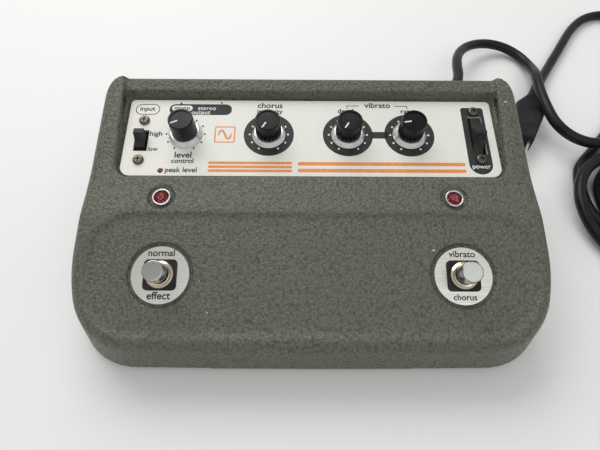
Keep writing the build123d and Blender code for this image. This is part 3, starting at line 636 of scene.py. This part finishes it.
def word_mesh(text, span, baseline):
    """A word between two places along a line, all in millimetres."""
    data = bpy.data.curves.new("word", "FONT")
    data.body = text
    data.size = 1.0
    data.extrude = 0
    data.offset = BOLD
    flat = curve_mesh(data)
    xs = [v.co.x for v in flat.vertices]
    scale = (span[1] - span[0]) * MM / (max(xs) - min(xs))
    shift = span[0] * MM - min(xs) * scale
    mesh = bmesh.new()
    mesh.from_mesh(flat)
    faces = mesh.faces[:]
    raised = bmesh.ops.extrude_face_region(mesh, geom=faces)
    for vertex in (v for v in raised["geom"] if isinstance(v, bmesh.types.BMVert)):
        vertex.co.z = 1.0
    bmesh.ops.recalc_face_normals(mesh, faces=mesh.faces)
    for vertex in mesh.verts:
        height = INK_THICK * MM / 2 * (1 if vertex.co.z > 0.5 else -1)
        vertex.co = Vector((vertex.co.x * scale + shift, vertex.co.y * scale + baseline * MM, height))
    mesh.to_mesh(flat)
    mesh.free()
    return flat


def joined(name, meshes, material, matrix, lift):
    """Several flat meshes as one printed piece, raised by a lift in millimetres."""
    whole = bmesh.new()
    for mesh in meshes:
        whole.from_mesh(mesh)
    mesh = bpy.data.meshes.new(name)
    whole.to_mesh(mesh)
    whole.free()
    mesh.materials.clear()
    raised = matrix @ Matrix.Translation((0, 0, lift * MM))
    return add_piece(name, mesh, material, HOUSING, raised)


DIAL_R = 13.56
DOT_RING = 10.34
DOT_R = 0.55
OUTPUT_PILL = (-78.3, -43.8, 14.3, 21.6)
INPUT_PILL = (-97.0, -83.6, 14.3, 21.5)
POWER_SURROUND = (83.4, 95.9, 20.1, -22.7)
POWER_SLOT = (90.4, 1.9, 3.85, 12.2)
BAR = (-0.65, 3.6)


def dot_ring(data, u):
    """Eleven marks round a knob."""
    for clock in range(-150, 151, 30):
        angle = math.radians(90 - clock)
        centre = (u + DOT_RING * math.cos(angle), KNOB_V / MM + DOT_RING * math.sin(angle))
        outline(data, circle(centre, DOT_R, 16))


def print_dials():
    data = print_curve("dials")
    for name in ("intensity", "depth", "rate"):
        outline(data, circle((KNOB_U[name], KNOB_V / MM), DIAL_R))
    meshes = [curve_mesh(data)]
    bridge = print_curve("bridge")
    outline(bridge, [(KNOB_U["depth"] + 12, BAR[0]), (KNOB_U["rate"] - 12, BAR[0]),
                     (KNOB_U["rate"] - 12, BAR[1]), (KNOB_U["depth"] + 12, BAR[1])])
    meshes.append(curve_mesh(bridge))
    surround = print_curve("surround")
    u0, u1, top, bottom = POWER_SURROUND
    half = (u1 - u0) / 2
    outline(surround, [(u1, top - 1), (u1 - 1, top), (u0 + 1, top), (u0, top - 1)]
            + arc((u0 + half, bottom + half), half, 180, 360, 32))
    u, v, half_u, half_v = POWER_SLOT
    outline(surround, [(u + half_u, v + half_v), (u - half_u, v + half_v), (u - half_u, v - half_v),
                       (u + half_u, v - half_v)])
    meshes.append(curve_mesh(surround))
    joined("dial_print", meshes, GREEN_INK, PANEL, LIFT_FIRST)


def pill(data, box, line=None):
    """A box with fully round ends, filled, or a line of this width."""
    u0, u1, v0, v1 = box
    outline(data, rounded_box(u0, u1, v0, v1, (v1 - v0) / 2 - 0.01))
    if line:
        inner = (v1 - v0) / 2 - line - 0.01
        outline(data, rounded_box(u0 + line, u1 - line, v0 + line, v1 - line, inner))


# Each word with the two places that it lies between along the plate, and its baseline up the plate.
BLACK_WORDS = [
    ("input", (-94.6, -86.2), 17.0), ("high", (-87.1, -80.4), 0.4), ("low", (-87.0, -81.6), -9.2),
    ("level", (-72.3, -63.4), -13.3), ("control", (-73.7, -62.0), -16.6),
    ("peak level", (-76.3, -59.8), -22.2), ("chorus", (-29.5, -15.6), 19.3),
    ("intensity", (-29.6, -15.6), 15.6), ("vibrato", (30.0, 44.4), 19.8),
    ("depth", (15.0, 24.9), 16.0), ("rate", (50.0, 56.9), 16.0),
]
WHITE_WORDS = [
    ("stereo", (-62.6, -52.6), 17.6), ("output", (-66.0, -55.6), 14.7), ("power", (84.9, 94.6), -19.1),
]


def print_black():
    data = print_curve("marks")
    dot_ring(data, KNOB_U["level"])
    pill(data, INPUT_PILL, 0.45)
    u0, u1, v0, v1 = OUTPUT_PILL
    outline(data, rounded_box(u0, u1, v0, v1, 3.4))
    meshes = [curve_mesh(data)]
    signs = print_curve("signs")
    outline(signs, [(-73.0, 21.4), (-71.4, 21.4), (-72.2, 23.2)])
    outline(signs, circle((-49.7, 22.5), 0.6, 16))
    bracket = [(20.0, 19.1), (20.0, 21.2), (27.0, 21.2), (27.0, 20.8), (20.4, 20.8), (20.4, 19.1)]
    outline(signs, bracket)
    outline(signs, [(53.9 + 20.0 - u, v) for u, v in bracket])
    meshes.append(curve_mesh(signs))
    for text, span, baseline in BLACK_WORDS:
        meshes.append(word_mesh(text, span, baseline))
    joined("black_print", meshes, BLACK_INK, PANEL, LIFT_FIRST)


def print_white():
    data = print_curve("white_marks")
    for name in ("intensity", "depth", "rate"):
        dot_ring(data, KNOB_U[name])
    pill(data, (-77.0, -65.6, 17.0, 20.6))
    meshes = [curve_mesh(data)]
    for text, span, baseline in WHITE_WORDS:
        meshes.append(word_mesh(text, span, baseline))
    joined("white_print", meshes, WHITE_INK, PANEL, LIFT_SECOND)
    joined("mono_print", [word_mesh("mono", (-75.6, -67.0), 17.7)], BLACK_INK, PANEL, LIFT_THIRD)


EMBLEM = (-52.2, -41.0, -3.8, 6.7)
# Each group of stripes: its ends along the plate, the foot and head of each stripe, and their rounding.
STRIPES = [
    ((-54.1, -10.1), ((-22.0, -20.4), (-19.6, -18.0), (-17.2, -15.6)), 0.7),
    ((-7.1, 81.3), ((-21.9, -19.8), (-17.8, -15.7)), 0.9),
]


def print_orange():
    """A plain wave sign in a square, and plain stripes along the plate's foot."""
    data = print_curve("emblem")
    u0, u1, v0, v1 = EMBLEM
    outline(data, rounded_box(u0, u1, v0, v1, 1.0))
    outline(data, rounded_box(u0 + 0.7, u1 - 0.7, v0 + 0.7, v1 - 0.7, 0.6))
    meshes = [curve_mesh(data)]
    wave = print_curve("wave")
    steps = 40
    rise, width = 2.6, 0.55
    middle_v = (v0 + v1) / 2
    upper, lower = [], []
    for i in range(steps + 1):
        u = u0 + 2.0 + (u1 - u0 - 4.0) * i / steps
        v = middle_v + rise * math.sin(2 * math.pi * i / steps)
        slope = math.cos(2 * math.pi * i / steps) * rise * 2 * math.pi / (u1 - u0 - 4.0)
        reach = width * math.sqrt(1 + slope * slope)
        upper.append((u, v + reach))
        lower.append((u, v - reach))
    outline(wave, upper + lower[::-1])
    meshes.append(curve_mesh(wave))
    bars = print_curve("bars")
    for (start, end), bands, rounding in STRIPES:
        for low, high in bands:
            outline(bars, rounded_box(start, end, low, high, rounding))
    meshes.append(curve_mesh(bars))
    joined("orange_print", meshes, ORANGE_INK, PANEL, LIFT_FIRST)


print_dials()
print_black()
print_white()
print_orange()


# ---- knobs ----
def knob_matrix(name):
    """A frame on a knob's axis, its Y along the pointer at rest."""
    place = joint_place(name + "_turn")
    return plane_matrix(place, NORMAL) @ Matrix.Rotation(math.radians(-CLOCK[name]), 4, "Z")


def soft_block(name, size, place, rounding, matrix, material, body):
    """A small bar with rounded edges, in millimetres."""
    mesh = bmesh.new()
    bmesh.ops.create_cube(mesh, size=1.0)
    for vertex in mesh.verts:
        vertex.co = Vector([(c * s + p) * MM for c, s, p in zip(vertex.co, size, place)])
    bmesh.ops.bevel(mesh, geom=mesh.edges[:], offset=rounding * MM, segments=3, affect="EDGES", profile=0.5)
    data = bpy.data.meshes.new(name)
    mesh.to_mesh(data)
    mesh.free()
    return add_piece(name, data, material, body, matrix)


POINTER_SIZE = (0.76, 4.2, 0.3)
POINTER_PLACE = (0, 3.75, KNOB_FACE - 0.10)
MARK_REACH = 8.3            # from the knob's axis to the dot on its skirt
MARK_R = 0.42
MARK_HEIGHT = 1.75


def make_pointers():
    """A white pointer on each knob and a dot on its skirt."""
    for name in KNOB_U:
        body = name + "_control"
        soft_block(name + "_pointer", POINTER_SIZE, POINTER_PLACE, 0.08,
                   knob_matrix(name), WHITE_INK, body)
        data = print_curve(name + "_mark")
        outline(data, circle((0, MARK_REACH), MARK_R, 16))
        mark = knob_matrix(name) @ Matrix.Translation((0, 0, MARK_HEIGHT * MM))
        add_piece(name + "_mark", curve_mesh(data), BLACK_INK, body, mark)


make_pointers()


# ---- foot switches ----
def print_discs():
    words = {"effect_button": ("normal", "effect"), "mode_button": ("vibrato", "chorus")}
    for button, (upper, lower) in words.items():
        meshes = [word_mesh(upper, (-6.4, 6.4), 9.2), word_mesh(lower, (-5.6, 5.6), -11.6)]
        joined(button + "_words", meshes, BLACK_INK, foot_matrix(button), LIFT_FIRST)


print_discs()
